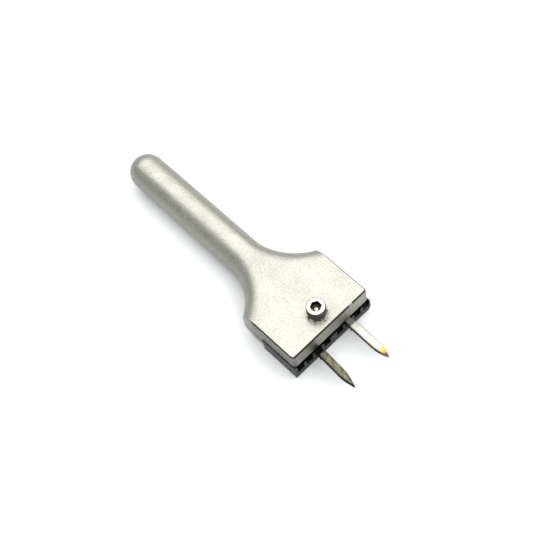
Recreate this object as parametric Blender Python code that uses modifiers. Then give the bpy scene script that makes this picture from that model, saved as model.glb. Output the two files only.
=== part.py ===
"""Adjustable two-prong leather punch, lying flat: +X towards the prongs, +Z up. Sizes in metres."""
import math

import bmesh
import bpy
from mathutils import Vector

mm = 0.001

# where the tool lies: the head's front face, its middle and its flat top
frontX = 41.8 * mm
midY = -0.35 * mm
topZ = 15.6 * mm

# cast handle and head
castLength = 103.3 * mm
endRadius = 6.8 * mm
neckRadius = 7.0 * mm
handleDrop = 7.8 * mm
neckBack = 44.7 * mm
flareRadius = 22.0 * mm
filletSide = 3.9 * mm
filletRise = 5.4 * mm
filletBlend = 15.0 * mm
squareFrom = 26.5 * mm
squareTo = 21.3 * mm
shoulderBack = 24.6 * mm
shoulderBlend = 2.2 * mm
headWidth = 35.6 * mm
headDepth = 15.0 * mm
headEdge = 0.35 * mm
headUnderEdge = 2.4 * mm
plateThick = 8.2 * mm
recessLength = 16.3 * mm
clearHoleRadius = 2.25 * mm

# comb jaw, standing a little proud of the head's front; its lands lie lower than its ends and back
jawOffset = 0.35 * mm
jawProud = 0.3 * mm
jawWidth = 36.9 * mm
jawLength = 16.3 * mm
jawGap = 0.3 * mm
landDrop = 9.7 * mm
combOffset = 0.6 * mm
slotWidth = 3.0 * mm
slotPitch = 4.3 * mm
slotMiddleGap = 6.2 * mm
slotLength = 10.5 * mm
slotCount = 8
slotFloorDrop = 12.7 * mm
tappedRadius = 2.05 * mm
jawEdge = 0.3 * mm

# M4 socket-head cap screw
screwBack = 6.66 * mm
screwSide = 0.4 * mm
screwRadius = 2.0 * mm
screwLength = 14.0 * mm
headRadius = 3.5 * mm
headHeight = 4.0 * mm
socketFlats = 3.3 * mm
socketDepth = 2.2 * mm
socketTurn = math.radians(-1.7)
screwSeat = 0.12 * mm

# prongs: a shank clamped in a slot, and a wider, thinner blade in front of the jaw; each one's slot, turn in
# degrees and power, which is how round its point's sides are
shankWidth = 2.2 * mm
shankHeight = 4.1 * mm
prongTopDrop = 8.5 * mm
prongInside = 8.0 * mm
pivotBack = 2.1 * mm
bladeBack = 2.2 * mm
bladeRound = 0.5 * mm
bladeHeight = 2.5 * mm
pointLength = 6.4 * mm
prongEdge = 0.12 * mm
prongs = {
    "prong_right": {"slot": 6, "width": 2.9 * mm, "reach": 19.7 * mm, "turn": -0.5, "power": 1.85},
    "prong_left": {"slot": 3, "width": 2.65 * mm, "reach": 19.1 * mm, "turn": -3.3, "power": 1.5},
}

past = 2.0 * mm  # how far a cutter reaches beyond what it cuts

for old in list(bpy.data.objects):
    bpy.data.objects.remove(old, do_unlink=True)

pieces = bpy.data.collections.new("adjustable_leather_punch")
cutters = bpy.data.collections.new("cutters")
for group in (pieces, cutters):
    bpy.context.scene.collection.children.link(group)


def makeMaterial(name, color, metallic, roughness):
    material = bpy.data.materials.new(name)
    material.use_nodes = True
    shader = material.node_tree.nodes["Principled BSDF"]
    shader.inputs["Base Color"].default_value = (*color, 1.0)
    shader.inputs["Metallic"].default_value = metallic
    shader.inputs["Roughness"].default_value = roughness
    material.diffuse_color = (*color, 1.0)
    return material


def place(name, data, material):
    """Link data as a piece, or as a hidden cutter when it has no material."""
    made = bpy.data.objects.new(name, data)
    if material is None:
        cutters.objects.link(made)
        made.hide_render = True
        made.display_type = "WIRE"
    else:
        pieces.objects.link(made)
        data.materials.append(material)
    return made


def box(name, low, high, material=None):
    """A cube primitive sized to reach from corner low to corner high; its origin is its middle."""
    low = Vector(low)
    high = Vector(high)
    work = bmesh.new()
    bmesh.ops.create_cube(work, size=1.0)
    bmesh.ops.scale(work, vec=high - low, verts=work.verts[:])
    mesh = bpy.data.meshes.new(name)
    work.to_mesh(mesh)
    work.free()
    made = place(name, mesh, material)
    made.location = (low + high) / 2
    return made


def rod(name, x, y, radius, low, high, sides=48, turn=0.0):
    """A cutter: a round or many-sided bar standing along Z."""
    work = bmesh.new()
    bmesh.ops.create_cone(
        work, cap_ends=True, segments=sides, radius1=radius, radius2=radius, depth=high - low
    )
    mesh = bpy.data.meshes.new(name)
    work.to_mesh(mesh)
    work.free()
    made = place(name, mesh, None)
    made.location = (x, y, (low + high) / 2)
    made.rotation_euler = (0.0, 0.0, turn)
    return made


def cut(target, tool):
    modifier = target.modifiers.new("cut " + tool.name, "BOOLEAN")
    modifier.operation = "DIFFERENCE"
    modifier.solver = "EXACT"
    modifier.object = tool


def bevel(target, width, segments=2, angle=math.radians(40)):
    modifier = target.modifiers.new("edges", "BEVEL")
    modifier.width = width
    modifier.segments = segments
    modifier.limit_method = "ANGLE"
    modifier.angle_limit = angle


def shadeRound(made, sharp=math.radians(35)):
    made.data.shade_smooth()
    made.data.set_sharp_from_angle(angle=sharp)


def smoothStep(value, low, high):
    t = min(max((value - low) / (high - low), 0.0), 1.0)
    return t * t * (3.0 - 2.0 * t)


def mix(a, b, t):
    return a + (b - a) * t


# materials
castMetal = makeMaterial("satin_nickel_casting", (0.73, 0.72, 0.67), 1.0, 0.42)
blackSteel = makeMaterial("black_oxide_steel", (0.075, 0.08, 0.082), 1.0, 0.5)
screwSteel = makeMaterial("zinc_plated_steel", (0.62, 0.61, 0.6), 1.0, 0.28)
brightSteel = makeMaterial("ground_tool_steel", (0.74, 0.71, 0.62), 1.0, 0.33)
dullSteel = makeMaterial("tempered_tool_steel", (0.33, 0.29, 0.23), 1.0, 0.45)


def castSection(back):
    """Half width, top, bottom and corner sizes of the casting, back metres behind the front face."""
    fromEnd = castLength - back
    radius = mix(neckRadius, endRadius, min(max((back - neckBack) / (castLength - neckBack), 0.0), 1.0))
    if back >= neckBack:
        half = radius
        if fromEnd < endRadius:
            half = math.sqrt(max(endRadius**2 - (endRadius - fromEnd) ** 2, 0.0))
        return half, half, half, half, half, half, half
    # flare: a concave arc from the neck out to the shoulder, which a small round closes
    fullHalf = headWidth / 2
    along = min(neckBack - back, flareRadius)
    arc = neckRadius + flareRadius - math.sqrt(flareRadius**2 - along**2)
    gap = (fullHalf - arc) / shoulderBlend
    half = fullHalf - shoulderBlend * (gap + math.sqrt(gap * gap + 0.05)) / 2.0
    half = max(min(half, fullHalf), neckRadius * 0.99)
    forward = smoothStep(neckBack - back, 0.0, neckBack - shoulderBack)
    top = mix(neckRadius, handleDrop, forward)
    bottom = mix(neckRadius, headDepth - handleDrop, forward)
    toFillet = smoothStep(neckBack - back, 0.0, filletBlend)
    side = mix(neckRadius, filletSide, toFillet)
    rise = mix(neckRadius, filletRise, toFillet)
    # the wide fillet tightens to the head's small edges
    square = smoothStep(-back, -squareFrom, -squareTo)
    upSide = mix(side, headEdge, square)
    upRise = mix(rise, headEdge, square)
    downSide = mix(side, headUnderEdge, square)
    downRise = mix(rise, headUnderEdge, square)
    return half, top, bottom, upSide, upRise, downSide, downRise


def castRing(back, steps):
    half, top, bottom, upSide, upRise, downSide, downRise = castSection(back)
    x = frontX - back
    axisZ = topZ - handleDrop
    ring = []
    for quarter in range(4):
        right = quarter in (0, 3)
        upper = quarter in (0, 1)
        side = upSide if upper else downSide
        rise = upRise if upper else downRise
        centreY = half - side
        centreZ = (top - rise) if upper else (bottom - downRise)
        for k in range(steps + 1):
            angle = (quarter + k / steps) * math.pi / 2
            if upper:
                z = axisZ + centreZ + rise * math.sin(angle)
            else:
                z = axisZ - centreZ + rise * math.sin(angle)
            y = (centreY if right else -centreY) + side * math.cos(angle)
            ring.append((x, midY + y, z))
    return ring


def buildCasting():
    steps = 9
    stations = []
    for i in range(1, 10):
        angle = math.pi / 2 * i / 9
        stations.append(castLength - endRadius * (1.0 - math.cos(angle)))
    stations += [mix(castLength - endRadius, neckBack, t) for t in (0.33, 0.67, 1.0)]
    flare = [42.5, 40.5, 38.5, 36.6, 34.8, 33.1, 31.6, 30.2, 29.0, 28.0, 27.2, 26.5, 25.9, 25.4]
    flare += [25.0, 24.6, 24.2, 23.8, 23.3, 22.7, 22.0, 21.3, 17.0, 9.0, 0.0]
    stations += [value * mm for value in flare]
    verts = []
    faces = []
    rings = [castRing(back, steps) for back in stations]
    size = len(rings[0])
    for ring in rings:
        verts += ring
    for r in range(len(rings) - 1):
        for i in range(size):
            j = (i + 1) % size
            faces.append((r * size + i, r * size + j, (r + 1) * size + j, (r + 1) * size + i))
    verts.append((frontX - castLength, midY, topZ - handleDrop))
    tip = len(verts) - 1
    for i in range(size):
        faces.append((tip, (i + 1) % size, i))
    last = (len(rings) - 1) * size
    faces.append(tuple(range(last, last + size)))
    mesh = bpy.data.meshes.new("handle_casting")
    mesh.from_pydata(verts, [], faces)
    work = bmesh.new()
    work.from_mesh(mesh)
    # neighbouring corner arcs meet in one point on the round handle
    bmesh.ops.remove_doubles(work, verts=work.verts[:], dist=0.02 * mm)
    bmesh.ops.recalc_face_normals(work, faces=work.faces[:])
    work.to_mesh(mesh)
    work.free()
    casting = place("handle_casting", mesh, castMetal)
    shadeRound(casting)
    under = topZ - plateThick
    wide = headWidth / 2 + past
    recess = box(
        "recess cutter",
        (frontX - recessLength, midY - wide, topZ - headDepth - past),
        (frontX + past, midY + wide, under),
    )
    cut(casting, recess)
    hole = rod(
        "clearance hole cutter",
        frontX - screwBack,
        midY + screwSide,
        clearHoleRadius,
        under - past,
        topZ + past,
    )
    cut(casting, hole)
    return casting


def slotMiddle(number):
    """Middle of a slot across the jaw, counted from 1 at -Y, with a wide land in the middle."""
    fromMiddle = number - (slotCount + 1) / 2
    side = 1.0 if fromMiddle > 0 else -1.0
    return midY + combOffset + side * (slotMiddleGap / 2 + (abs(fromMiddle) - 0.5) * slotPitch)


def buildJaw():
    middle = midY + jawOffset
    jaw = box(
        "comb_jaw",
        (frontX + jawProud - jawLength, middle - jawWidth / 2, 0.0),
        (frontX + jawProud, middle + jawWidth / 2, topZ - plateThick - jawGap),
        blackSteel,
    )
    bevel(jaw, jawEdge)
    relief = box(
        "land relief cutter",
        (frontX - slotLength, slotMiddle(1) - slotWidth / 2, topZ - landDrop),
        (frontX + past, slotMiddle(slotCount) + slotWidth / 2, topZ - plateThick + past),
    )
    cut(jaw, relief)
    for number in range(1, slotCount + 1):
        slot = box(
            "slot cutter %d" % number,
            (frontX - slotLength, slotMiddle(number) - slotWidth / 2, topZ - slotFloorDrop),
            (frontX + past, slotMiddle(number) + slotWidth / 2, topZ - plateThick + past),
        )
        cut(jaw, slot)
    hole = rod(
        "tapped hole cutter",
        frontX - screwBack,
        midY + screwSide,
        tappedRadius,
        -past,
        topZ,
    )
    cut(jaw, hole)
    return jaw


def buildScrew():
    """Turned about Z: the profile runs from top to bottom and the Screw modifier spins it."""
    seat = topZ + screwSeat
    chamfer = 0.3 * mm
    profile = [
        (0.0, headHeight),
        (headRadius - chamfer, headHeight),
        (headRadius, headHeight - chamfer),
        (headRadius, 0.15 * mm),
        (headRadius - 0.15 * mm, 0.0),
        (screwRadius + 0.15 * mm, 0.0),
        (screwRadius, -0.15 * mm),
        (screwRadius, -screwLength + 0.5 * mm),
        (screwRadius - 0.5 * mm, -screwLength),
        (0.0, -screwLength),
    ]
    mesh = bpy.data.meshes.new("clamp_screw")
    mesh.from_pydata(
        [(r, 0.0, z) for r, z in profile], [(i, i + 1) for i in range(len(profile) - 1)], []
    )
    screw = place("clamp_screw", mesh, screwSteel)
    screw.location = (frontX - screwBack, midY + screwSide, seat)
    spin = screw.modifiers.new("turn", "SCREW")
    spin.angle = 2.0 * math.pi
    spin.steps = 48
    spin.render_steps = 48
    spin.use_merge_vertices = True
    spin.merge_threshold = 0.00001
    spin.use_smooth_shade = True
    socket = rod(
        "socket cutter",
        frontX - screwBack,
        midY + screwSide,
        socketFlats / math.sqrt(3.0),
        seat + headHeight - socketDepth,
        seat + headHeight + past,
        6,
        socketTurn,
    )
    cut(screw, socket)
    return screw


def buildProng(name, spec, material):
    """A flat outline lying on its own X, 0 at the head's front, thinned from below along its blade."""
    shank = shankWidth / 2
    blade = spec["width"] / 2
    turn = math.radians(spec["turn"])
    pointStart = spec["reach"] - pointLength
    side = [(-prongInside, shank), (bladeBack, shank)]
    steps = 4
    for i in range(1, steps + 1):
        angle = math.pi / 2 * i / steps
        side.append((bladeBack + bladeRound * (1.0 - math.cos(angle)), mix(shank, blade, math.sin(angle))))
    steps = 10
    for i in range(steps):
        t = i / steps
        side.append((pointStart + pointLength * t, blade * (1.0 - t ** spec["power"])))
    outline = side + [(spec["reach"], 0.0)] + [(x, -y) for x, y in reversed(side)]
    curve = bpy.data.curves.new(name + " outline", "CURVE")
    curve.dimensions = "2D"
    curve.fill_mode = "BOTH"
    curve.extrude = shankHeight / 2
    spline = curve.splines.new("POLY")
    spline.points.add(len(outline) - 1)
    for point, (x, y) in zip(spline.points, outline):
        point.co = (x, y, 0.0, 1.0)
    spline.use_cyclic_u = True
    flat = bpy.data.objects.new(name + " outline", curve)
    pieces.objects.link(flat)
    bpy.context.view_layer.update()
    mesh = bpy.data.meshes.new_from_object(flat.evaluated_get(bpy.context.evaluated_depsgraph_get()))
    mesh.name = name
    bpy.data.objects.remove(flat)
    work = bmesh.new()
    work.from_mesh(mesh)
    bmesh.ops.remove_doubles(work, verts=work.verts[:], dist=0.001 * mm)
    work.to_mesh(mesh)
    work.free()
    prong = place(name, mesh, material)
    # it crosses the middle of its slot a little behind the head's front
    y = slotMiddle(spec["slot"]) + pivotBack * math.tan(turn)
    prong.location = (frontX, y, topZ - prongTopDrop - shankHeight / 2)
    prong.rotation_euler = (0.0, 0.0, turn)
    belly = box(
        name + " belly cutter",
        (frontX + bladeBack + bladeRound, y - slotPitch, topZ - prongTopDrop - shankHeight - past),
        (frontX + spec["reach"] + past, y + slotPitch, topZ - prongTopDrop - bladeHeight),
    )
    cut(prong, belly)
    bevel(prong, prongEdge, 1)
    return prong


buildCasting()
buildJaw()
buildScrew()
buildProng("prong_right", prongs["prong_right"], brightSteel)
buildProng("prong_left", prongs["prong_left"], dullSteel)
bpy.context.view_layer.update()
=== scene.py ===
import math
import bmesh
import bpy
import numpy as np
from mathutils import Matrix, Vector


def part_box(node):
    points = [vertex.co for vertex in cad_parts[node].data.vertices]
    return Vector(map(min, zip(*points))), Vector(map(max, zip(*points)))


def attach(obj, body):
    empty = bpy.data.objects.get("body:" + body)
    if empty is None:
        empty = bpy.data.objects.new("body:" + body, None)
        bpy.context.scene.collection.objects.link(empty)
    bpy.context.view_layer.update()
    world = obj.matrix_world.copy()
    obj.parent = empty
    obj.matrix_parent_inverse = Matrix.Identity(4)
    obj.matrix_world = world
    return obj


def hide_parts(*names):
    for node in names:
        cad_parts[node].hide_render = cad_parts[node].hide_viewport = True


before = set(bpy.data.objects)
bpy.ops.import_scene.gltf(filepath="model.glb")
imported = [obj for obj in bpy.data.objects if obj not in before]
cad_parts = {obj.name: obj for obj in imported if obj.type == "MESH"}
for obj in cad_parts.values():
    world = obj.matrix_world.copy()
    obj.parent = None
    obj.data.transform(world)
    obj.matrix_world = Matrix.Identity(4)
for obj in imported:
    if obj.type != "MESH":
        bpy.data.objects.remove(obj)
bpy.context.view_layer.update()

mm = 0.001
print("frame loaded:", ", ".join(sorted(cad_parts)))

castLow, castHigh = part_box("handle_casting")
frontX = castHigh[0]                      # front face of the head
midY = (castLow[1] + castHigh[1]) / 2     # middle of the head
topZ = castHigh[2]                        # flat upper side of the head
platePoint = np.array([frontX, midY, topZ])   # middle of the plate's front edge: pieces are drawn from it


# camera: looks at a point on the head's flat top, turned a little about its own axis
cameraView = {
    "target": (frontX - 24.5 * mm, midY + 0.14 * mm, topZ),
    "azimuth": -31.72,        # degrees from +X towards +Y
    "elevation": 63.02,
    "roll": -13.96,
    "distance": 450.6 * mm,
    "lens": 83.57,
}


def addCamera(view):
    azimuth, elevation, roll = (math.radians(view[key]) for key in ("azimuth", "elevation", "roll"))
    flat = math.cos(elevation)
    back = Vector((math.cos(azimuth) * flat, math.sin(azimuth) * flat, math.sin(elevation)))
    right = Vector((0, 0, 1)).cross(back).normalized()
    up = back.cross(right)
    turnedRight = right * math.cos(roll) + up * math.sin(roll)
    turnedUp = up * math.cos(roll) - right * math.sin(roll)
    data = bpy.data.cameras.new("camera")
    data.lens = view["lens"]
    data.sensor_width = 36
    data.clip_start = 0.01
    camera = bpy.data.objects.new("camera", data)
    bpy.context.scene.collection.objects.link(camera)
    turn = Matrix((turnedRight, turnedUp, back)).transposed().to_4x4()
    camera.matrix_world = Matrix.Translation(Vector(view["target"]) + back * view["distance"]) @ turn
    bpy.context.scene.camera = camera


addCamera(cameraView)
print("camera placed")


def smoothStep(value, low, high):   # 0 below low, 1 above high, and a cubic ease between them
    part = np.clip((value - low) / (high - low), 0, 1)
    return part * part * (3 - 2 * part)


def softMin(value, limit, blend):   # the lower of two values, with their corner rounded over blend
    gap = (limit - value) / blend
    return limit - blend * (gap + np.sqrt(gap * gap + 0.05)) / 2


def quarterDrop(distance, radius):   # how far a round edge has dropped, by the distance still left to its end
    inside = np.clip(1 - distance / radius, 0, 1)
    return radius * (1 - np.sqrt(1 - inside * inside))


def skinRings(name, rings, capFirst="flat", capLast="flat", attributes=None):
    # rings is rows x points x 3: neighbouring rings are joined by quads that close round each ring,
    # and the two ends by one flat face or by a fan to their middle point
    rows, columns, _ = rings.shape
    row, column = np.meshgrid(np.arange(rows - 1), np.arange(columns), indexing="ij")
    after = (column + 1) % columns
    first = row * columns
    corners = (first + column, first + after, first + columns + after, first + columns + column)
    faces = np.stack(corners, axis=-1).reshape(-1, 4).tolist()
    points = rings.reshape(-1, 3)
    around = np.arange(columns)
    for cap, start, flip in ((capFirst, 0, True), (capLast, (rows - 1) * columns, False)):
        ring = start + (around[::-1] if flip else around)
        if cap == "flat":
            faces.append(ring.tolist())
        else:
            points = np.vstack([points, points[start:start + columns].mean(axis=0)])
            faces += np.stack([ring, np.roll(ring, -1), np.full(columns, len(points) - 1)], axis=-1).tolist()
    mesh = bpy.data.meshes.new(name)
    mesh.from_pydata(points.tolist(), [], faces)
    for key, values in (attributes or {}).items():
        layer = mesh.attributes.new(key, "FLOAT", "POINT")
        extra = len(points) - rows * columns
        layer.data.foreach_set("value", np.append(values.reshape(-1), np.zeros(extra)).astype(np.float32))
    piece = bpy.data.objects.new(name, mesh)
    bpy.context.scene.collection.objects.link(piece)
    closeMesh(piece)
    return piece


def closeMesh(piece):   # merges coincident points and points every face outwards
    work = bmesh.new()
    work.from_mesh(piece.data)
    bmesh.ops.remove_doubles(work, verts=work.verts, dist=2e-6)
    bmesh.ops.dissolve_degenerate(work, edges=work.edges, dist=1e-6)
    if work.calc_volume(signed=True) < 0:
        bmesh.ops.reverse_faces(work, faces=work.faces)
    work.to_mesh(piece.data)
    work.free()


def boreHole(piece, middle, radius, zLow, zHigh):   # cuts an upright round hole right through a piece
    work = bmesh.new()
    bmesh.ops.create_cone(work, cap_ends=True, segments=64, radius1=radius, radius2=radius,
                          depth=zHigh - zLow)
    bmesh.ops.translate(work, verts=work.verts, vec=(middle[0], middle[1], (zLow + zHigh) / 2))
    drillMesh = bpy.data.meshes.new("drill")
    work.to_mesh(drillMesh)
    work.free()
    drill = bpy.data.objects.new("drill", drillMesh)
    bpy.context.scene.collection.objects.link(drill)
    cut = piece.modifiers.new("bore", "BOOLEAN")
    cut.operation = "DIFFERENCE"
    cut.solver = "EXACT"
    cut.object = drill
    bpy.context.view_layer.update()
    bored = bpy.data.meshes.new_from_object(piece.evaluated_get(bpy.context.evaluated_depsgraph_get()))
    bored.name = piece.name
    piece.modifiers.clear()
    piece.data = bored
    bpy.data.objects.remove(drill)


def finishPiece(piece, node, body, material, sharpAngle=35):
    mesh = piece.data
    mesh.polygons.foreach_set("use_smooth", np.ones(len(mesh.polygons), dtype=bool))
    mesh.set_sharp_from_angle(angle=math.radians(sharpAngle))
    mesh.materials.clear()
    mesh.materials.append(material)
    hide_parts(node)
    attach(piece, body)
    print(piece.name, "built with", len(mesh.polygons), "faces")


# materials
def linearColour(hexCode):   # sRGB hex to the linear values a shader takes
    channels = [int(hexCode[k:k + 2], 16) / 255 for k in (1, 3, 5)]
    return tuple(c / 12.92 if c <= 0.04045 else ((c + 0.055) / 1.055) ** 2.4 for c in channels) + (1.0,)


def newMaterial(name):
    material = bpy.data.materials.new(name)
    material.use_nodes = True
    return material, material.node_tree, material.node_tree.nodes["Principled BSDF"]


def addNode(tree, kind, settings=None, links=None):   # one node with its settings, socket values and links
    node = tree.nodes.new("ShaderNode" + kind)
    for key, value in (settings or {}).items():
        if isinstance(key, str) and hasattr(node, key):
            setattr(node, key, value)
        else:
            node.inputs[key].default_value = value
    for key, source in (links or {}).items():
        tree.links.new(source, node.inputs[key])
    return node


def setStops(ramp, stops):   # colour stops of a ramp as (place, hex) pairs
    elements = ramp.color_ramp.elements
    while len(elements) < len(stops):
        elements.new(0.5)
    for element, (place, hexCode) in zip(elements, stops):
        element.position = place
        element.color = linearColour(hexCode)


# bead-blasted zinc casting with satin nickel plate: a warm soft white metal, matt from the blasting, with
# fine dull pits, painted shade on the head's sides, dirt specks with painted shade round the screw's head,
# and a thin painted shade line along the top edge
def satinNickelPlate():
    grain, blotch, pit = 0.42 * mm, 6 * mm, 1.1 * mm     # the 0.1 mm blast grain is drawn coarser, to show
    material, tree, shader = newMaterial("satin nickel plate, bead-blasted casting")
    place = addNode(tree, "TexCoord").outputs["Object"]
    fine = addNode(tree, "TexNoise", {"Scale": 1 / grain, "Detail": 3.0, "Roughness": 0.6}, {"Vector": place})
    wide = addNode(tree, "TexNoise", {"Scale": 1 / blotch, "Detail": 2.0}, {"Vector": place})
    pits = addNode(tree, "TexNoise", {"Scale": 1 / pit, "Detail": 4.0, "Roughness": 0.75}, {"Vector": place})
    wornAndShaded = addNode(tree, "Attribute", {"attribute_name": "edgeWearAndShade"})
    tone = addNode(tree, "ValToRGB", {}, {"Fac": fine.outputs["Fac"]})
    setStops(tone, [(0.30, "#747368"), (0.50, "#8D8B84"), (0.68, "#979690")])
    pitMask = addNode(tree, "MapRange", {"From Min": 0.63, "From Max": 0.72, "To Max": 0.55},
                      {"Value": pits.outputs["Fac"]})
    pitted = addNode(tree, "Mix", {"data_type": "RGBA", 7: linearColour("#625E50")},
                     {0: pitMask.outputs["Result"], 6: tone.outputs["Color"]})
    ragged = addNode(tree, "Math", {"operation": "ADD"}, {0: wornAndShaded.outputs["Fac"], 1: fine.outputs["Fac"]})
    wearAndShadeMask = addNode(tree, "MapRange", {"From Min": 0.75, "From Max": 1.15, "To Max": 0.95},
                       {"Value": ragged.outputs["Value"]})
    # painted shade: the head darker on its sides and underside, in blotches
    sides = addNode(tree, "Attribute", {"attribute_name": "shadedSide"})
    sideMask = addNode(tree, "Math", {"operation": "MULTIPLY"},
                       {0: sides.outputs["Fac"], 1: wide.outputs["Fac"]})
    sideShadeMixed = addNode(tree, "Mix", {"data_type": "RGBA", 7: linearColour("#4D4F47")},
                     {0: sideMask.outputs["Value"], 6: pitted.outputs[2]})
    # painted shade of the screw's head round its foot, with dark dirt specks
    dirtAndShade = addNode(tree, "Attribute", {"attribute_name": "grimeAndShade"})
    specks = addNode(tree, "MapRange", {"From Min": 0.47, "From Max": 0.56}, {"Value": pits.outputs["Fac"]})
    dirtAndShadeMask = addNode(tree, "Math", {"operation": "MULTIPLY"},
                       {0: dirtAndShade.outputs["Fac"], 1: specks.outputs["Result"]})
    stainedAndShaded = addNode(tree, "Mix", {"data_type": "RGBA", 7: linearColour("#382D24")},
                      {0: dirtAndShadeMask.outputs["Value"], 6: sideShadeMixed.outputs[2]})
    # painted shade: the dark line along the head's top edge
    edged = addNode(tree, "Mix", {"data_type": "RGBA", 7: linearColour("#29231B")},
                    {0: wearAndShadeMask.outputs["Result"], 6: stainedAndShaded.outputs[2]})
    dull = addNode(tree, "MapRange", {"From Min": 0.3, "From Max": 0.7, "To Min": 0.36, "To Max": 0.47},
                   {"Value": wide.outputs["Fac"]})
    relief = addNode(tree, "Bump", {"Strength": 0.85, "Distance": 0.08 * mm}, {"Height": fine.outputs["Fac"]})
    dents = addNode(tree, "Bump", {"Strength": 0.25, "Distance": 0.10 * mm},
                    {"Height": pits.outputs["Fac"], "Normal": relief.outputs["Normal"]})
    shader.inputs["Metallic"].default_value = 1.0
    tree.links.new(edged.outputs[2], shader.inputs["Base Color"])
    tree.links.new(dull.outputs["Result"], shader.inputs["Roughness"])
    tree.links.new(dents.outputs["Normal"], shader.inputs["Normal"])
    return material


# milled steel blackened in hot oxide salts: nearly black with a faint green-grey cast, fine mill lines,
# bare steel showing where the edges have been handled, and painted shade with soot in the slots
def blackOxideSteel():
    millLine, stain = 0.35 * mm, 3 * mm     # mill lines drawn coarser than real ones, to show
    material, tree, shader = newMaterial("black oxide, milled steel")
    place = addNode(tree, "TexCoord").outputs["Object"]
    stretched = addNode(tree, "Mapping", {"Scale": (1.0, 0.12, 1.0)}, {"Vector": place})
    lines = addNode(tree, "TexNoise", {"Scale": 1 / millLine, "Detail": 3.0},
                    {"Vector": stretched.outputs["Vector"]})
    stains = addNode(tree, "TexNoise", {"Scale": 1 / stain, "Detail": 5.0, "Roughness": 0.65},
                     {"Vector": place})
    tone = addNode(tree, "ValToRGB", {}, {"Fac": stains.outputs["Fac"]})
    setStops(tone, [(0.32, "#1D2120"), (0.55, "#2D312F"), (0.75, "#3D413D")])
    wornAndShaded = addNode(tree, "Attribute", {"attribute_name": "edgeWearAndShade"})
    rubbed = addNode(tree, "MapRange", {"From Min": 0.35, "From Max": 0.62, "To Max": 0.75},
                     {"Value": stains.outputs["Fac"]})
    wearAndShadeMask = addNode(tree, "Math", {"operation": "MULTIPLY"},
                       {0: wornAndShaded.outputs["Fac"], 1: rubbed.outputs["Result"]})
    edged = addNode(tree, "Mix", {"data_type": "RGBA", 7: linearColour("#605F58")},
                    {0: wearAndShadeMask.outputs["Value"], 6: tone.outputs["Color"]})
    # painted shade, with soot, in the prong slots
    grimeAndShade = addNode(tree, "Attribute", {"attribute_name": "grimeAndShade"})
    dirtyAndShaded = addNode(tree, "Mix", {"data_type": "RGBA", 7: linearColour("#0B0B0A")},
                    {0: grimeAndShade.outputs["Fac"], 6: edged.outputs[2]})
    dull = addNode(tree, "MapRange", {"From Min": 0.3, "From Max": 0.7, "To Min": 0.34, "To Max": 0.5},
                   {"Value": stains.outputs["Fac"]})
    relief = addNode(tree, "Bump", {"Strength": 0.35, "Distance": 0.03 * mm},
                     {"Height": lines.outputs["Fac"]})
    shader.inputs["Metallic"].default_value = 1.0
    tree.links.new(dirtyAndShaded.outputs[2], shader.inputs["Base Color"])
    tree.links.new(dull.outputs["Result"], shader.inputs["Roughness"])
    tree.links.new(relief.outputs["Normal"], shader.inputs["Normal"])
    return material


# forged screw, zinc plated over a faced head: bright turned top, brown-black painted shade in its socket, on
# its rim and knurl, and in its thread
def zincPlatedScrew(axisX, axisY):
    turnLine, stain = 0.22 * mm, 1.2 * mm     # a turned line is half a wave, drawn coarser than real, to show
    radiansPerUnit = 20                       # how far the wave node's rings turn over one unit
    material, tree, shader = newMaterial("zinc plate, turned and knurled steel")
    place = addNode(tree, "TexCoord").outputs["Object"]
    centred = addNode(tree, "Mapping", {"Location": (-axisX, -axisY, 0.0)}, {"Vector": place})
    rings = addNode(tree, "TexWave", {"wave_type": "RINGS", "rings_direction": "Z", "Distortion": 0.6,
                                      "Detail": 2.0, "Scale": math.pi / (radiansPerUnit * turnLine)},
                    {"Vector": centred.outputs["Vector"]})
    stains = addNode(tree, "TexNoise", {"Scale": 1 / stain, "Detail": 4.0, "Roughness": 0.65},
                     {"Vector": place})
    tone = addNode(tree, "ValToRGB", {}, {"Fac": stains.outputs["Fac"]})
    setStops(tone, [(0.30, "#8C8A83"), (0.55, "#9C9A92"), (0.75, "#A3A19A")])
    # painted shade: brown-black in the socket, on the rim and knurled side, and in the thread
    grimeAndShade = addNode(tree, "Attribute", {"attribute_name": "grimeAndShade"})
    dirtyAndShaded = addNode(tree, "Mix", {"data_type": "RGBA", 7: linearColour("#241F1A")},
                    {0: grimeAndShade.outputs["Fac"], 6: tone.outputs["Color"]})
    dull = addNode(tree, "MapRange", {"To Min": 0.24, "To Max": 0.5}, {"Value": grimeAndShade.outputs["Fac"]})
    relief = addNode(tree, "Bump", {"Strength": 0.2, "Distance": 0.02 * mm}, {"Height": rings.outputs["Fac"]})
    shader.inputs["Metallic"].default_value = 1.0
    tree.links.new(dirtyAndShaded.outputs[2], shader.inputs["Base Color"])
    tree.links.new(dull.outputs["Result"], shader.inputs["Roughness"])
    tree.links.new(relief.outputs["Normal"], shader.inputs["Normal"])
    return material
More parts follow.
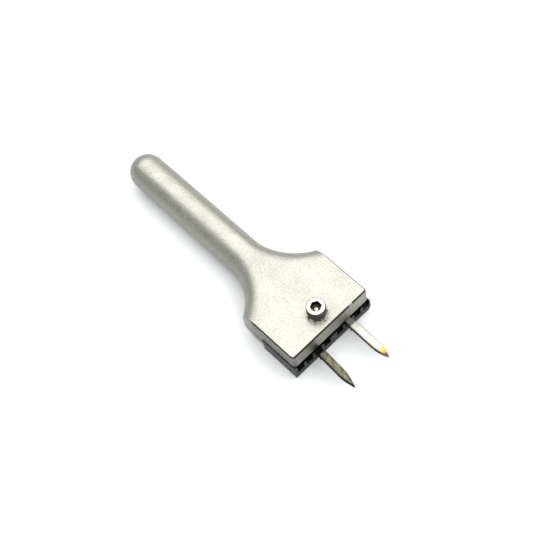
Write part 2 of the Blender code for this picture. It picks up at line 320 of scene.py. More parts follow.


# hardened tool steel, surface ground along its length: light warm metal with fine grinding lines, painted
# shade on its shank, darker grey on its sides and rim, and at the point the oxide colours that heat leaves,
# straw first and then brown
def groundToolSteel():
    grindLine, stain = 0.30 * mm, 2.5 * mm    # grinding lines drawn coarser than real ones, to show
    material, tree, shader = newMaterial("ground tool steel, straw-tempered point")
    place = addNode(tree, "TexCoord").outputs["Object"]
    stretched = addNode(tree, "Mapping", {"Scale": (0.08, 1.0, 1.0)}, {"Vector": place})
    lines = addNode(tree, "TexNoise", {"Scale": 1 / grindLine, "Detail": 3.0},
                    {"Vector": stretched.outputs["Vector"]})
    stains = addNode(tree, "TexNoise", {"Scale": 1 / stain, "Detail": 4.0}, {"Vector": place})
    bare = addNode(tree, "ValToRGB", {}, {"Fac": stains.outputs["Fac"]})
    setStops(bare, [(0.30, "#7C7B73"), (0.50, "#8C8C85"), (0.75, "#92928C")])
    heat = addNode(tree, "Attribute", {"attribute_name": "tempering"})
    uneven = addNode(tree, "MapRange", {"To Min": -0.07, "To Max": 0.07}, {"Value": stains.outputs["Fac"]})
    temper = addNode(tree, "Math", {"operation": "ADD"},
                     {0: heat.outputs["Fac"], 1: uneven.outputs["Result"]})
    oxide = addNode(tree, "ValToRGB", {}, {"Fac": temper.outputs["Value"]})
    setStops(oxide, [(0.0, "#979173"), (0.25, "#95864D"), (0.55, "#8B7138"), (0.76, "#563B27"),
                     (1.0, "#402A20")])
    heated = addNode(tree, "MapRange", {"From Min": 0.02, "From Max": 0.16},
                     {"Value": temper.outputs["Value"]})
    tinted = addNode(tree, "Mix", {"data_type": "RGBA"},
                     {0: heated.outputs["Result"], 6: bare.outputs["Color"], 7: oxide.outputs["Color"]})
    # painted shade on the shank, where the plate's shadow falls, and darker grey along the sides and rim
    grimeAndShade = addNode(tree, "Attribute", {"attribute_name": "grimeAndShade"})
    dirtyAndShaded = addNode(tree, "Mix", {"data_type": "RGBA", 7: linearColour("#3C3A36")},
                    {0: grimeAndShade.outputs["Fac"], 6: tinted.outputs[2]})
    bareDull = addNode(tree, "MapRange", {"To Min": 0.24, "To Max": 0.36}, {"Value": lines.outputs["Fac"]})
    dull = addNode(tree, "Mix", {"data_type": "FLOAT", 3: 0.75},
                   {0: grimeAndShade.outputs["Fac"], 2: bareDull.outputs["Result"]})
    relief = addNode(tree, "Bump", {"Strength": 0.25, "Distance": 0.02 * mm},
                     {"Height": lines.outputs["Fac"]})
    shader.inputs["Metallic"].default_value = 1.0
    tree.links.new(dirtyAndShaded.outputs[2], shader.inputs["Base Color"])
    tree.links.new(dull.outputs[0], shader.inputs["Roughness"])
    tree.links.new(relief.outputs["Normal"], shader.inputs["Normal"])
    return material


# the same steel left with its brown furnace skin: grey-brown, mottled, with black specks; near-black on its
# sides and rim, and painted shade on its shank
def furnaceSkinSteel():
    fleck, mottle = 0.45 * mm, 1.4 * mm
    material, tree, shader = newMaterial("tool steel with brown furnace skin")
    place = addNode(tree, "TexCoord").outputs["Object"]
    stretched = addNode(tree, "Mapping", {"Scale": (0.45, 1.0, 1.0)}, {"Vector": place})
    mottles = addNode(tree, "TexNoise", {"Scale": 1 / mottle, "Detail": 4.0, "Roughness": 0.65},
                      {"Vector": stretched.outputs["Vector"]})
    flecks = addNode(tree, "TexNoise", {"Scale": 1 / fleck, "Detail": 3.0, "Roughness": 0.7},
                     {"Vector": place})
    tone = addNode(tree, "ValToRGB", {}, {"Fac": mottles.outputs["Fac"]})
    setStops(tone, [(0.30, "#38332B"), (0.44, "#534E42"), (0.58, "#67634F"), (0.75, "#7C7867")])
    fleckMask = addNode(tree, "MapRange", {"From Min": 0.53, "From Max": 0.61, "To Max": 0.9},
                        {"Value": flecks.outputs["Fac"]})
    specked = addNode(tree, "Mix", {"data_type": "RGBA", 7: linearColour("#1D1916")},
                      {0: fleckMask.outputs["Result"], 6: tone.outputs["Color"]})
    # painted shade on the shank, and near-black along the sides and edges
    grimeAndShade = addNode(tree, "Attribute", {"attribute_name": "grimeAndShade"})
    dirtyAndShaded = addNode(tree, "Mix", {"data_type": "RGBA", 7: linearColour("#12100F")},
                    {0: grimeAndShade.outputs["Fac"], 6: specked.outputs[2]})
    skinDull = addNode(tree, "MapRange", {"From Min": 0.3, "From Max": 0.7, "To Min": 0.34, "To Max": 0.55},
                       {"Value": mottles.outputs["Fac"]})
    dull = addNode(tree, "Mix", {"data_type": "FLOAT", 3: 0.85},
                   {0: grimeAndShade.outputs["Fac"], 2: skinDull.outputs["Result"]})
    relief = addNode(tree, "Bump", {"Strength": 0.4, "Distance": 0.04 * mm},
                     {"Height": flecks.outputs["Fac"]})
    shader.inputs["Metallic"].default_value = 1.0
    tree.links.new(dirtyAndShaded.outputs[2], shader.inputs["Base Color"])
    tree.links.new(dull.outputs[0], shader.inputs["Roughness"])
    tree.links.new(relief.outputs["Normal"], shader.inputs["Normal"])
    return material


# the handle, flare and head are one casting
casting = {
    "length": castHigh[0] - castLow[0],
    "headWidth": castHigh[1] - castLow[1],
    "headDepth": castHigh[2] - castLow[2],
    "axisDrop": 7.8 * mm,          # handle's axis below the flat top
    "endRadius": 6.8 * mm,
    "neckRadius": 7.0 * mm,
    "neckBack": 44.7 * mm,         # where the round handle begins to flare
    "flareRadius": 22 * mm,
    "riseLength": 20.1 * mm,       # the section deepens from the neck to the full head over this length
    "filletWidth": 6.4 * mm,       # rounding between the flat top and the flare's side
    "filletRise": 5.7 * mm,
    "filletBlend": 12 * mm,        # the round section turns into the fillet over this length
    "flatFade": 14 * mm,           # and behind the neck the flat on top dies out over this
    "shoulderBlend": 2.2 * mm,
    "topEdge": 0.5 * mm,
    "underEdge": 2.4 * mm,
    "frontCorner": 1.5 * mm,
    "sharpCorner": 0.5 * mm,       # the front corner at +Y is less round
    "shadeBand": 0.95 * mm,         # how far the painted shade line on the top edge fades down the front face
    "shadeSide": 0.085,             # share of the side's height over which the painted shade line on the top edge fades
    "shadeBack": (18 * mm, 23 * mm),    # the painted shade line and the painted shade on the sides fade out between these, behind the front
    "sideShadeDrop": (0.6 * mm, 1.6 * mm),  # below the top, where the painted shade on the sides begins
    "plateThick": 8.2 * mm,
    "recessLength": 16.3 * mm,     # the head is cut away under the plate, for the comb jaw
    "holeBack": 6.66 * mm,
    "holeSide": 0.4 * mm,
    "holeRadius": 2.25 * mm,
    "dirtAndShadeAhead": 1.0 * mm,         # the dirt specks and painted shade round the screw's head are centred this far in front of it
    "dirtAndShadeSide": 0.7 * mm,          # and this far to -Y
    "dirtAndShadeEdge": (3.3 * mm, 4.6 * mm),
    "nickSide": 10.2 * mm,         # ding on the front edge
    "nickHalfWidth": 0.95 * mm,
    "nickLength": 1.3 * mm,
    "nickDepth": 0.45 * mm,
    "waviness": 0.05 * mm,
    "waveLength": 11 * mm,
    "wavesBegin": (24 * mm, 34 * mm),   # the waves fade in and out between these along the handle
    "wavesEnd": (98 * mm, 103 * mm),
}


def castingHalf(back, c):
    # half width from above: the radius of a slowly tapering rod with a ball end, then a circular flare
    # that meets the head's straight side in a rounded shoulder, then the head's rounded front corner
    full = c["headWidth"] / 2
    taper = np.clip((back - c["neckBack"]) / (c["length"] - c["neckBack"]), 0, 1)
    rod = c["neckRadius"] + (c["endRadius"] - c["neckRadius"]) * taper
    toEnd = np.clip(c["endRadius"] - (c["length"] - back), 0, c["endRadius"])
    ball = np.sqrt(np.maximum(c["endRadius"] ** 2 - toEnd ** 2, 0))
    rod = np.minimum(rod, np.where(toEnd > 0, ball, rod))
    along = np.clip(c["neckBack"] - back, 0, c["flareRadius"])
    arc = c["neckRadius"] + c["flareRadius"] - np.sqrt(c["flareRadius"] ** 2 - along ** 2)
    head = softMin(arc, full, c["shoulderBlend"]) - quarterDrop(back, c["frontCorner"])
    return np.where(back >= c["neckBack"], rod, head)


def castingEdge(back, half, height, rise, edge, c, turns):
    # one quarter of the section, from the flat's end to the side: a wide fillet measured square to the
    # flare's arc, as far as the side cuts it off, then a small round edge that turns the rest of the way
    turnY = c["neckRadius"] + c["flareRadius"]            # centre of the flare's arc
    outer = c["flareRadius"] + c["filletWidth"]
    along = np.maximum(c["neckBack"] - back, 0)
    reached = outer - np.hypot(along, turnY - half)
    lean = np.arcsin(np.clip(reached / c["filletWidth"], 0, 1))
    limit = half - edge * (1 - np.sin(lean))
    reached = outer - np.hypot(along, turnY - limit)
    lean = np.arcsin(np.clip(reached / c["filletWidth"], 0, 1))
    wide, small = turns
    step = lean * np.linspace(0, 1, wide)
    across = c["filletWidth"] * np.sin(step)
    flare = turnY - np.sqrt(np.maximum((outer - across) ** 2 - along ** 2, 0))
    rodFlat = (turnY - outer) * (1 - smoothStep(back, c["neckBack"], c["neckBack"] + c["flatFade"]))
    rodFlat = np.minimum(rodFlat, half * 0.3)
    quarter = np.linspace(0, math.pi / 2, wide)
    handle = rodFlat + (half - rodFlat) * np.sin(quarter)
    onHandle = back >= c["neckBack"]
    wideY = np.where(onHandle, handle, np.minimum(flare, limit))
    wideZ = height - rise * (1 - np.cos(np.where(onHandle, quarter, step)))
    turn = lean + (math.pi / 2 - lean) * np.linspace(0, 1, small + 1)[1:]
    smallY = limit + (half - limit) * (np.sin(turn) - np.sin(lean)) / (1 - np.sin(lean) + 1e-6)
    smallZ = wideZ[:, -1:] - edge * (np.cos(lean) - np.cos(turn))
    smallY = np.where(onHandle, half, smallY)
    smallZ = np.where(onHandle, wideZ[:, -1:], smallZ)
    return np.hstack([wideY, smallY]), np.hstack([wideZ, smallZ])


def castingRings(c):
    # sections square to the handle's axis, from the front face back to the ball end. Each is a quarter
    # above and a quarter below joined by flats and sides, mirrored left to right
    head = c["recessLength"]     # rings lie closer where the outline turns
    frontSteps = c["frontCorner"] * (1 - np.cos(np.linspace(0, math.pi / 2, 14)))
    plateSteps = np.linspace(c["frontCorner"], head, 26)[1:]
    flareSteps = np.linspace(head, c["neckBack"], 84)
    rodSteps = np.linspace(c["neckBack"], c["length"] - c["endRadius"], 70)[1:]
    ballSteps = c["length"] - c["endRadius"] * (1 - np.sin(np.linspace(0, math.pi / 2, 20)))[1:-1]
    back = np.concatenate([frontSteps, plateSteps, flareSteps, rodSteps, ballSteps])[:, None]
    plate = (np.arange(len(back)) < len(frontSteps) + len(plateSteps))[:, None]
    half = castingHalf(back, c)
    forward = smoothStep(c["neckBack"] - back, 0, c["riseLength"])
    stockRadius = np.where(back >= c["neckBack"], half, c["neckRadius"])
    above = stockRadius + (c["axisDrop"] - stockRadius) * forward - quarterDrop(back, c["topEdge"])
    below = stockRadius + (c["headDepth"] - c["axisDrop"] - stockRadius) * forward
    below = np.where(plate, c["plateThick"] - c["axisDrop"] - quarterDrop(back, c["topEdge"]), below)
    toFlare = smoothStep(c["neckBack"] - back, 0, c["filletBlend"])
    rise = stockRadius + (c["filletRise"] - stockRadius) * toFlare
    underEdge = np.where(plate, c["topEdge"], c["underEdge"])
    topY, topHeights = castingEdge(back, half, above, rise, np.full_like(half, c["topEdge"]), c, (14, 6))
    lowY, lowHeights = castingEdge(back, half, below, rise, underEdge, c, (12, 6))
    flat = np.linspace(0, 1, 46)[:-1]
    flatY = topY[:, :1] * flat
    flatZ = above + 0 * flatY
    side = np.append(c["shadeSide"], np.linspace(0, 1, 8)[1:-1])
    sideY = topY[:, -1:] + (lowY[:, -1:] - topY[:, -1:]) * side
    sideZ = topHeights[:, -1:] + (-lowHeights[:, -1:] - topHeights[:, -1:]) * side
    floor = np.linspace(1, 0, 12)[1:]
    floorY = lowY[:, :1] * floor
    floorZ = -below + 0 * floorY
    acrossY = np.hstack([flatY, topY, sideY, lowY[:, ::-1], floorY])
    heightZ = np.hstack([flatZ, topHeights, sideZ, -lowHeights[:, ::-1], floorZ])
    acrossY = np.hstack([acrossY, -acrossY[:, -2:0:-1]])
    heightZ = np.hstack([heightZ, heightZ[:, -2:0:-1]]) - c["axisDrop"]
    rings = np.stack([np.broadcast_to(-back, acrossY.shape), acrossY, heightZ], axis=-1)
    # the painted shade line lies on the small round top edge of both sides, and on the top of the front edge
    edgeWearAndShade = (0, 0.5, 1, 1, 1, 1, 1)
    first = flatY.shape[1] + topY.shape[1] - len(edgeWearAndShade)
    topEdgeShade = np.zeros(acrossY.shape[1])
    topEdgeShade[first:first + len(edgeWearAndShade)] = edgeWearAndShade
    topEdgeShade[1:] = np.maximum(topEdgeShade[1:], topEdgeShade[:0:-1])
    onHead = 1 - smoothStep(back, *c["shadeBack"])
    frontEdge = np.clip(2 - 2 * back / c["topEdge"], 0, 1) * (heightZ > -1.5 * c["topEdge"])
    wearAndShade = np.maximum(topEdgeShade * onHead, frontEdge)
    # painted shade: the head darker below its top, on its sides and underside
    dull = smoothStep(-heightZ, *c["sideShadeDrop"]) * onHead * (np.arange(len(back)) > 0)[:, None]
    # one more ring on the front face, where the painted shade band ends
    inner = rings[0].copy()
    reach = np.abs(inner[:, 1]).max() - c["shadeBand"]
    inner[:, 1] = np.clip(inner[:, 1], -reach, reach)
    inner[:, 2] = np.clip(inner[:, 2], inner[:, 2].min() + c["shadeBand"], inner[:, 2].max() - c["shadeBand"])
    rings = np.concatenate([inner[None], rings])
    wearAndShade = np.concatenate([0 * wearAndShade[:1], wearAndShade])
    dull = np.concatenate([dull[:1], dull])
    return rings, wearAndShade, dull


def castingWaves(rings, c):   # the slight unevenness of a casting: a sum of long waves, always inwards
    x, y, z = (rings[..., k] / c["waveLength"] for k in range(3))
    wave = np.sin(1.3 * x + 2.1 * y + 0.4) + np.sin(2.9 * x - 1.7 * z + 1.1) + np.sin(4.3 * y + 2.3 * x + 2.0)
    swell = (wave / 3 + 1) / 2
    axis = np.stack([rings[..., 0], 0 * y, 0 * z - c["axisDrop"]], axis=-1)
    back = -rings[..., 0]
    onHandle = smoothStep(back, *c["wavesBegin"]) * (1 - smoothStep(back, *c["wavesEnd"]))
    return rings + (axis - rings) * (swell * onHandle * c["waviness"] / c["neckRadius"])[..., None]


def buildCasting(c):
    rings, wearAndShade, dull = castingRings(c)
    back = np.maximum(-rings[..., 0], 0)
    roundHalf = c["headWidth"] / 2 - quarterDrop(back, c["frontCorner"])
    sharpHalf = c["headWidth"] / 2 - quarterDrop(back, c["sharpCorner"])
    rings[..., 1] *= np.where(rings[..., 1] > 0, sharpHalf / roundHalf, 1)
    rings = castingWaves(rings, c)
    # painted shade of the screw's head on the top round it, with dirt specks, centred in front of it and to
    # -Y
    fromDirtAndShade = np.hypot(rings[..., 0] + c["holeBack"] - c["dirtAndShadeAhead"],
                        rings[..., 1] - c["holeSide"] + c["dirtAndShadeSide"])
    dirtAndShade = (1 - smoothStep(fromDirtAndShade, *c["dirtAndShadeEdge"])) * (rings[..., 2] > -0.1 * mm)
    atNick = np.clip(1 - np.abs(rings[..., 1] - c["nickSide"]) / c["nickHalfWidth"], 0, 1)
    atNick = atNick * np.clip(1 + rings[..., 0] / c["nickLength"], 0, 1) * (rings[..., 2] > -2 * c["topEdge"])
    rings[..., 2] -= c["nickDepth"] * atNick
    wearAndShade = wearAndShade * (1 - np.minimum(atNick * 3, 1))
    marks = {"edgeWearAndShade": wearAndShade, "grimeAndShade": dirtAndShade, "shadedSide": dull}
    piece = skinRings("casting", rings + platePoint, "flat", "pole", marks)
    hole = platePoint + np.array([-c["holeBack"], c["holeSide"], 0])
    boreHole(piece, hole, c["holeRadius"], topZ - c["plateThick"] - 2 * mm, topZ + 2 * mm)
    finishPiece(piece, "handle_casting", "handle", satinNickelPlate())


buildCasting(casting)


# the comb jaw under the plate, with four prong slots on each side of its middle
jaw = {
    "offset": 0.35 * mm,
    "width": 36.9 * mm,
    "proud": 0.3 * mm,          # how far it stands out in front of the plate
    "length": 16.3 * mm,
    "top": -8.5 * mm,           # its ends and its back
    "farTop": -9.4 * mm,        # the top of its thin +Y end
    "landTop": -9.7 * mm,
    "combOffset": 0.6 * mm,
    "bottom": -15.6 * mm,
    "slotWidth": 3.0 * mm,
    "slotPitch": 4.3 * mm,
    "middleGap": 6.2 * mm,
    "slotLength": 10.5 * mm,
    "slotFloor": -12.7 * mm,
    "edge": 0.14 * mm,
    "endCorner": 1.7 * mm,      # the lower corner at the +Y end is rounded over
    "farCorner": 0.45 * mm,     # and the upper one a little
    "tappedRadius": 2.05 * mm,
}


def slotMiddles(j):
    outward = j["middleGap"] / 2 + j["slotPitch"] * np.arange(4)
    return j["combOffset"] + np.concatenate([-outward[::-1], outward])


def jawOutline(j):
    # front view, anticlockwise from the lower -Y corner: along the bottom, up the +Y end, and back over the
    # lands and slots, which lie lower than the two ends. Every square corner becomes an arc that leaves one
    # edge and joins the next
    low, high = j["offset"] - j["width"] / 2, j["offset"] + j["width"] / 2
    middles = slotMiddles(j)[::-1]
    across = np.repeat(middles, 4) + np.tile([0.5, 0.5, -0.5, -0.5], len(middles)) * j["slotWidth"]
    height = np.tile([j["landTop"], j["slotFloor"], j["slotFloor"], j["landTop"]], len(middles))
    height[[0, -1]] = j["farTop"], j["top"]
    corners = np.vstack([[low, j["bottom"]], [high, j["bottom"]], [high, j["farTop"]],
                         np.stack([across, height], axis=-1), [low, j["top"]]])
    radii = np.full(len(corners), j["edge"])
    radii[1:3] = j["endCorner"], j["farCorner"]
    arriving = corners - np.roll(corners, 1, axis=0)
    arriving /= np.linalg.norm(arriving, axis=1, keepdims=True)
    leaving = np.roll(arriving, -1, axis=0)
    turn = np.linspace(0, math.pi / 2, 6)[None, :, None]
    radius = radii[:, None, None]
    arriving, leaving = arriving[:, None, :], leaving[:, None, :]
    points = (corners[:, None, :] + arriving * radius * (np.sin(turn) - 1)
              + leaving * radius * (1 - np.cos(turn)))
    direction = (arriving * np.cos(turn) + leaving * np.sin(turn)).reshape(-1, 2)
    normals = np.stack([direction[:, 1], -direction[:, 0]], axis=-1)
    wearAndShade = np.broadcast_to(np.sin(2 * turn[..., 0]), points.shape[:2]).reshape(-1)
    return points.reshape(-1, 2), normals, wearAndShade


def buildJaw(j):
    # the outline carried from front to back, drawn in along its normals by a quarter circle at each end
    outline, normals, wearAndShade = jawOutline(j)
    turn = np.linspace(0, math.pi / 2, 5)
    drawnIn = j["edge"] * (1 - np.sin(turn))
    roundBack = j["edge"] * (1 - np.cos(turn))
    slotBack = [j["slotLength"] / 2, j["slotLength"], j["slotLength"]]
    inset = np.concatenate([drawnIn, [0, 0, 0], drawnIn[::-1]])
    back = np.concatenate([roundBack, slotBack, j["length"] - roundBack[::-1]])
    flat = outline[None] - normals[None] * inset[:, None, None]
    solid = (np.arange(len(back)) >= len(turn) + 2)[:, None]          # behind the slots it is one block
    combHalf = slotMiddles(j)[-1] - j["combOffset"] + j["slotWidth"] / 2
    fromComb = np.abs(outline[None, :, 0] - j["combOffset"]) - combHalf
    inSlots = (outline[None, :, 1] > j["slotFloor"] - 0.01 * mm) & (fromComb < j["edge"])
    flat[..., 1] = np.where(solid & inSlots, j["top"] - inset[:, None], flat[..., 1])
    along = np.broadcast_to(j["proud"] - back[:, None], flat.shape[:2])
    rings = np.stack([along, flat[..., 0], flat[..., 1]], axis=-1)
    frontWear = np.concatenate([np.sin(2 * turn), [0, 0, 0], np.sin(2 * turn)])
    wornAndShaded = np.maximum(wearAndShade[None], frontWear[:, None]) * (flat[..., 1] > j["bottom"] + 2 * mm)
    # painted shade, with soot, in the slots behind their front edge
    sootAndShade = smoothStep(back, 0, 1.5 * j["edge"])[:, None] * inSlots
    piece = skinRings("comb_jaw_block", rings + platePoint, attributes={"edgeWearAndShade": wornAndShaded, "grimeAndShade": sootAndShade})
    hole = platePoint + np.array([-casting["holeBack"], casting["holeSide"], 0])
    boreHole(piece, hole, j["tappedRadius"], topZ + j["bottom"] - 2 * mm, topZ + j["top"] + 2 * mm)
    finishPiece(piece, "comb_jaw", "jaw", blackOxideSteel())


buildJaw(jaw)


# the clamp screw, a socket-head cap screw
screw = {
    "shankRadius": 2.0 * mm,
    "pitch": 0.7 * mm,
    "threadDepth": 0.43 * mm,
    "threadDrop": 0.7 * mm,    # below the head, where the thread begins
    "threadFull": 1.6 * mm,    # and where it is cut to its full depth
    "length": 14 * mm,
    "headRadius": 3.5 * mm,
    "headHeight": 4 * mm,
    "headEdge": 0.24 * mm,
    "headEdgeDrop": 0.06 * mm,    # the knurl stands this far out from the rounded edge
    "seat": 0.12 * mm,
    "socketFlats": 3.5 * mm,
    "socketDepth": 2.2 * mm,
    "socketRound": 0.04 * mm,
    "spotRadius": 0.58 * mm,   # flat bright spot in the middle of the socket's floor
    "spotDrop": 0.3 * mm,
    "socketTurn": -1.7,        # degrees, one corner of the hexagon from +X towards +Y
    "flutes": 36,
    "fluteDepth": 0.13 * mm,
}


def screwRings(s):
    # a turned surface of radius and height, ring by ring, from the middle of the socket out over the head and
    # down the shank. The socket's radius follows a hexagon, the knurl adds a wave round the head, and the
    # thread's radius is a triangle wave of height minus turn
    around = np.linspace(0, 2 * math.pi, 216, endpoint=False)
    flats = s["socketFlats"] / 2
    sixth = (around - math.radians(s["socketTurn"])) % (math.pi / 3) - math.pi / 6
    corner = flats / math.cos(math.pi / 6)
    hexagon = np.minimum(flats / np.cos(sixth), corner - s["socketRound"])
    flute = (1 + np.cos(s["flutes"] * around)) / 2
    top, head, shank = s["headHeight"], s["headRadius"], s["shankRadius"]
    floor = top - s["socketDepth"]
    spot = s["spotRadius"]
    # every row is a radius, a height above the seat and how much painted shade it takes: first the socket and
    # the head's top (the flat spot in the socket's floor takes none)
    rows = [(0.02 * mm, floor - s["spotDrop"], 0), (spot, floor - s["spotDrop"], 0),
            (spot + 0.1 * mm, floor - 0.9 * s["spotDrop"], 0.95), (flats * 0.97, floor, 1),
            (hexagon, floor + 0.05 * mm, 1), (hexagon, (floor + top) / 2, 0.97),
            (hexagon, top - 0.08 * mm, 1), (hexagon + 0.05 * mm, top, 0.3),
            (corner + s["socketRound"] + 0.12 * mm, top, 0), (head * 0.80, top, 0),
            (head - 0.36 * mm, top, 0)]
    for turn in np.linspace(0, math.pi / 2, 6)[1:]:
        rimRadius = head - s["headEdgeDrop"] - s["headEdge"] * (1 - np.sin(turn))
        rows.append((rimRadius, top - s["headEdge"] * (1 - np.cos(turn)), min(0.5 + 1.5 * turn, 1)))
    # the knurl fades in at its top and out at its foot, above a plain collar and the seat
    knurl = ((top - 0.42 * mm, 0.35), (top - 0.55 * mm, 1), (top / 2, 1), (0.75 * mm, 1), (0.6 * mm, 0.3))
    for height, cut in knurl:
        rows.append((head - s["fluteDepth"] * cut * (1 - flute), height, 0.6 + 0.4 * cut * (1 - flute)))
    rows += [(head - s["headEdgeDrop"], 0.5 * mm, 0.7), (head - s["headEdgeDrop"], 0.2 * mm, 0.7),
             (head - 0.25 * mm, 0, 0.8), (shank + 0.15 * mm, 0, 0.5),
             (shank, -0.12 * mm, 0.5), (shank, -0.6 * mm, 0.3)]
    for height in np.arange(-s["threadDrop"], 0.6 * mm - s["length"], -s["pitch"] / 8):
        phase = (height / s["pitch"] - around / (2 * math.pi)) % 1
        cut = np.clip(1.15 - np.abs(2 * phase - 1) * 1.3, 0, 1)
        groove = cut * s["threadDepth"] * smoothStep(-height, s["threadDrop"], s["threadFull"])
        rows.append((shank - 0.02 * mm - groove, height, 0.35 + 0.4 * cut))
    rows += [(shank - 0.5 * mm, 0.25 * mm - s["length"], 0.3), (shank - 0.75 * mm, -s["length"], 0.3)]
    radius, height, grimeAndShade = (np.stack([row[k] + 0 * around for row in rows]) for k in range(3))
    return np.stack([radius * np.cos(around), radius * np.sin(around), height + s["seat"]], axis=-1), grimeAndShade


def buildScrew(s):
    rings, grimeAndShade = screwRings(s)
    middle = platePoint + np.array([-casting["holeBack"], casting["holeSide"], 0])
    piece = skinRings("socket_cap_screw", rings + middle, "pole", "flat", {"grimeAndShade": grimeAndShade})
    finishPiece(piece, "clamp_screw", "screw", zincPlatedScrew(middle[0], middle[1]),
                sharpAngle=30)


buildScrew(screw)


# the two prongs: a narrow deep shank clamped in a slot, and a wider, thinner blade with a leaf-shaped point.
# "power" is how round the point's sides are, "spread" how much wider the blade has grown where it begins
prongs = {
    "prong_right": {"slot": 5, "width": 2.9 * mm, "spread": 0.12 * mm, "reach": 19.7 * mm, "turn": -0.5,
                    "power": 1.85, "facetDrop": 0.32 * mm},
    "prong_left": {"slot": 2, "width": 2.65 * mm, "spread": 0.0, "reach": 19.1 * mm, "turn": -3.3,
                   "power": 1.5, "facetDrop": 0.25 * mm},
}
prongBar = {
    "shankWidth": 2.2 * mm,
    "shankHeight": 4.1 * mm,
    "top": -8.5 * mm,
    "inside": 8 * mm,
    "pivotBack": 2.1 * mm,        # where it crosses the middle of its slot
    "bladeBack": 2.2 * mm,
    "bladeRound": 0.5 * mm,
    "bladeHeight": 2.5 * mm,
    "shankDrop": 0.12 * mm,
    "pointLength": 6.4 * mm,
    "facetLength": 4.5 * mm,
    "edge": 0.09 * mm,
}


def prongStations(b, reach):
    # places along the prong, closer at the shoulder and where the point begins
    bladeStart = b["bladeBack"] + b["bladeRound"]
    shank = np.append(b["edge"], np.linspace(1 * mm, b["inside"] + b["bladeBack"], 12)) - b["inside"]
    shoulder = b["bladeBack"] + b["bladeRound"] * np.linspace(0.08, 1, 9) ** 2
    blade = np.linspace(bladeStart + 0.04 * mm, reach - b["pointLength"], 14)
    point = reach - b["pointLength"] * np.cos(np.linspace(0, math.pi / 2, 40))[1:]
    return np.concatenate([[-b["inside"]], shank, shoulder, blade, point])[:, None]


def prongRings(b, p):
    # a rounded box section carried along the prong: the half width is the shank's, then a quarter ellipse out
    # to the blade's, and falls as one minus a power of the way along the point; the top slopes down a little
    # over the last facet
    reach = p["reach"]
    along = prongStations(b, reach)
    way = np.clip((along - reach + b["pointLength"]) / b["pointLength"], 0, 1)
    toBlade = np.clip((along - b["bladeBack"]) / b["bladeRound"], 0, 1)
    onBlade = np.sqrt(1 - (1 - toBlade) ** 2)
    bladeWidth = p["width"] + p["spread"] * (2 * along / (reach - b["pointLength"]) - 1)
    half = (b["shankWidth"] + (bladeWidth - b["shankWidth"]) * onBlade) / 2
    half = np.maximum(half * (1 - way ** p["power"]), 0.03 * mm)
    half = half - b["edge"] * (along <= -b["inside"])
    facet = np.clip((along - reach + b["facetLength"]) / b["facetLength"], 0, 1)
    top = b["top"] - b["shankDrop"] * (1 - onBlade) - p["facetDrop"] * facet
    thick = np.where(along > b["bladeBack"] + b["bladeRound"] + 0.01 * mm, b["bladeHeight"], b["shankHeight"])
    bottom = b["top"] - thick
    edge = np.minimum(b["edge"], half * 0.6)
    turn = np.linspace(0, math.pi / 2, 4)
    arcY, arcZ = np.sin(turn), np.cos(turn)
    middleY = np.hstack([0 * half, half * 0.5])
    upperY, upperZ = half - edge * (1 - arcY), top - edge * (1 - arcZ)
    lowerY, lowerZ = half - edge * (1 - arcY[::-1]), bottom + edge * (1 - arcZ[::-1])
    wallY, wallZ = half + 0 * middleY, top - edge - (top - bottom - 2 * edge) * np.array([0.08, 0.5])
    rightY = np.hstack([middleY, upperY, wallY, lowerY])
    rightZ = np.hstack([top + 0 * middleY, upperZ, wallZ, lowerZ])
    across = np.hstack([rightY, -rightY[:, :0:-1]])
    height = np.hstack([rightZ, rightZ[:, :0:-1]])
    angle = math.radians(p["turn"])
    middle = slotMiddles(jaw)[p["slot"]] + b["pivotBack"] * math.tan(angle)
    x = along * math.cos(angle) - across * math.sin(angle)
    y = middle + along * math.sin(angle) + across * math.cos(angle)
    onWall = smoothStep(top - height, 0, 0.25 * mm)
    onRim = smoothStep(np.abs(across), half - 0.35 * mm, half)
    return np.stack([x, y, height], axis=-1), facet, onWall, np.maximum(onWall, onRim), 1 - onBlade


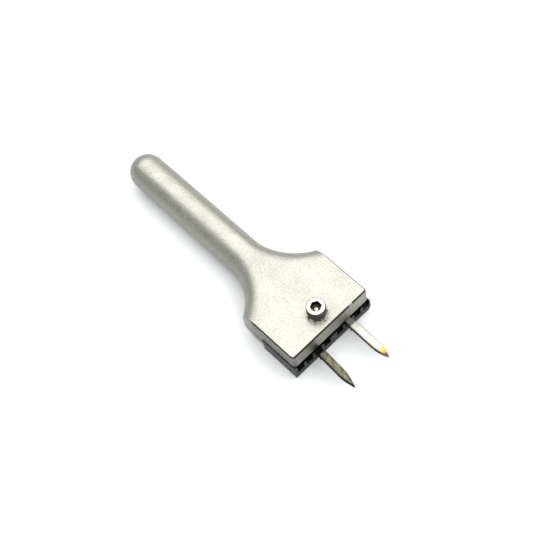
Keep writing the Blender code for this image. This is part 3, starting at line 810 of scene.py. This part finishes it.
def buildProngs(b):
    for node, finish, slot in (("prong_right", groundToolSteel, "ground_tool_steel"),
                               ("prong_left", furnaceSkinSteel, "tempered_tool_steel")):
        rings, facet, onWall, onRim, onShank = prongRings(b, prongs[node])
        if node == "prong_right":     # brown round the heated point; painted shade on the shank, where the plate's shadow falls, and darker and duller along the sides and rim up to the point
            dirtAndShade = np.maximum(np.maximum(0.65 * onShank, 0.3 * onRim), 0.95 * onWall)
            marks = {"tempering": facet + 0.7 * onWall * (facet > 0),
                     "grimeAndShade": dirtAndShade * (1 - 0.85 * smoothStep(facet, 0, 0.5))}
        else:                         # painted shade on the shank, where the plate's shadow falls, and near-black on its sides and edges
            marks = {"grimeAndShade": np.maximum(np.maximum(onShank, 0.6 * onRim), onWall)}
        piece = skinRings(node + "_blade", rings + platePoint, attributes=marks)
        finishPiece(piece, node, node.split("_")[1] + "_prong", finish())


buildProngs(prongBar)


# studio: a plain pale floor, one large soft box above and a little to +Y, and a dim even room
studio = {
    "floorSize": 4.0,
    "floorDrop": 0.05 * mm,
    "paper": "#C1C2C3",
    "boxPlace": (0.0, 0.36, 0.6),
    "boxSize": (1.6, 1.28),
    "boxWatts": 22.0,
    "room": "#ECF1ED",
}


def buildStudio(s):
    half = s["floorSize"] / 2
    floorMesh = bpy.data.meshes.new("floor")
    corners = [(-half, -half, 0), (half, -half, 0), (half, half, 0), (-half, half, 0)]
    floorMesh.from_pydata(corners, [], [(0, 1, 2, 3)])
    floor = bpy.data.objects.new("floor", floorMesh)
    bpy.context.scene.collection.objects.link(floor)
    floor.location.z = -s["floorDrop"]
    material, tree, shader = newMaterial("matt white paper")
    shader.inputs["Base Color"].default_value = linearColour(s["paper"])
    shader.inputs["Roughness"].default_value = 0.9
    shader.inputs["Specular IOR Level"].default_value = 0.0
    floorMesh.materials.append(material)
    lamp = bpy.data.lights.new("softbox", "AREA")
    lamp.shape = "RECTANGLE"
    lamp.size, lamp.size_y = s["boxSize"]
    lamp.energy = s["boxWatts"]
    lampObject = bpy.data.objects.new("softbox", lamp)
    lampObject.location = s["boxPlace"]
    bpy.context.scene.collection.objects.link(lampObject)
    world = bpy.data.worlds.new("room")
    bpy.context.scene.world = world
    world.use_nodes = True
    world.node_tree.nodes["Background"].inputs["Color"].default_value = linearColour(s["room"])
    bpy.context.scene.view_settings.view_transform = "Standard"


buildStudio(studio)
print("studio ready")
